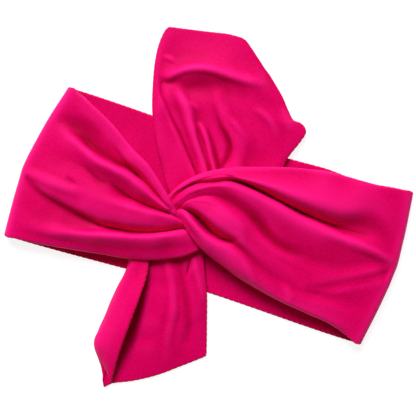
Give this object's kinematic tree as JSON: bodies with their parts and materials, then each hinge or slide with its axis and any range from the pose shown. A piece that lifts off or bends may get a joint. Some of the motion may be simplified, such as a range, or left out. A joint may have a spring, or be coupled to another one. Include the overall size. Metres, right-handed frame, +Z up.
{
  "type": "knotted sports headband",
  "caption": "Wide double-jersey headband tied at the front in a half knot, with two lifting tails, lying flat.",
  "frame": {"origin": "centre of the underside of the flat back, where the band lies on a surface", "axes": "+X along the back towards the right side fold, +Y across the back towards the upper tail, +Z up from the surface, towards the knot"},
  "size_m": [0.2402, 0.2348, 0.022],
  "materials": {
    "jersey_face": "matt brushed jersey, hot pink",
    "jersey_lining": "matt brushed jersey, hot pink",
    "seam_thread": "matt sewing thread, hot pink"
  },
  "bodies": {
    "band": {"back_left_face_ply": "jersey_face", "back_left_lining_ply": "jersey_lining", "back_right_face_ply": "jersey_face", "back_right_lining_ply": "jersey_lining", "left_fold_face_ply": "jersey_face", "left_fold_lining_ply": "jersey_lining", "right_fold_face_ply": "jersey_face", "right_fold_lining_ply": "jersey_lining", "left_wing_face_ply": "jersey_face", "left_wing_lining_ply": "jersey_lining", "right_wing_face_ply": "jersey_face", "right_wing_lining_ply": "jersey_lining", "left_strip_edge_thread": "seam_thread", "right_strip_edge_thread": "seam_thread", "nape_seam_thread": "seam_thread", "knot_over_strand": "jersey_face", "knot_upper_pass": "jersey_face", "knot_lower_pass": "jersey_face"},
    "upper_tail": {"upper_tail_face_ply": "jersey_face", "upper_tail_lining_ply": "jersey_lining", "upper_tail_edge_thread": "seam_thread"},
    "lower_tail": {"lower_tail_face_ply": "jersey_face", "lower_tail_lining_ply": "jersey_lining", "lower_margin_face_ply": "jersey_face", "lower_margin_lining_ply": "jersey_lining", "lower_tail_edge_thread": "seam_thread"}
  },
  "joints": [
    {"name": "upper_tail_lift", "type": "hinge", "parent": "band", "child": "upper_tail", "pos_m": [-0.0024, 0.031, 0.0048], "axis": [0.9537, 0.3007, 0], "range_deg": [0, 80]},
    {"name": "lower_tail_lift", "type": "hinge", "parent": "band", "child": "lower_tail", "pos_m": [-0.0192, -0.0359, 0.0048], "axis": [-0.9348, -0.3551, 0], "range_deg": [0, 80]}
  ]
}
